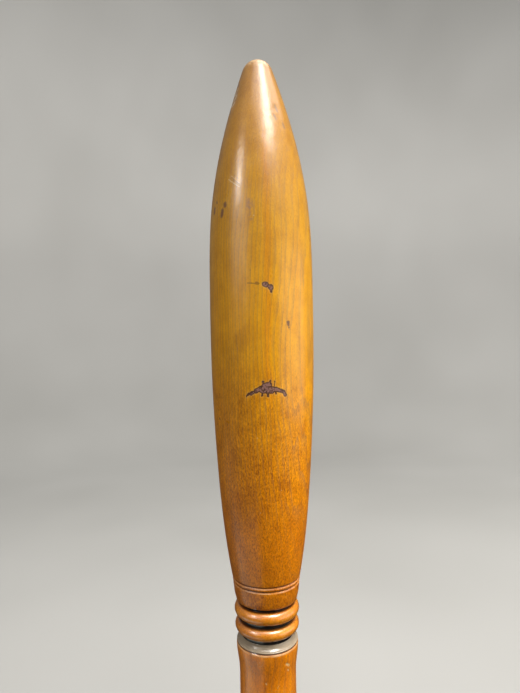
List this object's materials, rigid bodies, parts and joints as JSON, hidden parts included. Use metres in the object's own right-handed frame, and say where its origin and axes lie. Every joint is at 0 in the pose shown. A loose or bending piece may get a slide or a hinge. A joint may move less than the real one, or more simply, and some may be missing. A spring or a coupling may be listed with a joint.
{
  "type": "turned wooden hand club",
  "caption": "Turned wooden hand club: bullet-shaped head, ring-turned collar, straight grip and bun-shaped pommel, with a thong hole.",
  "frame": {"origin": "centre of the flat butt face that the club stands on", "axes": "+Z along the club's axis from the butt to the rounded tip; X and Y are across it, with the thong hole along X"},
  "size_m": [0.0512, 0.0512, 0.44],
  "materials": {
    "head_wood": "honey-brown varnished beech, fine flecks along the grain",
    "ring_wood": "orange-brown varnished beech, glossy",
    "grip_wood": "orange-brown varnished beech with darker streaks",
    "black_spacer": "blackened and varnished hardwood",
    "bare_wood": "bare beech, unvarnished"
  },
  "bodies": {
    "root": {"head": "head_wood", "collar_spacer_upper": "black_spacer", "collar_ring_upper": "ring_wood", "collar_spacer_middle": "black_spacer", "collar_ring_lower": "ring_wood", "collar_spacer_lower": "black_spacer", "grip": "grip_wood", "spigot_wedge": "bare_wood", "pommel_spacer": "black_spacer", "pommel": "ring_wood", "pommel_dowel": "bare_wood"}
  },
  "joints": []
}
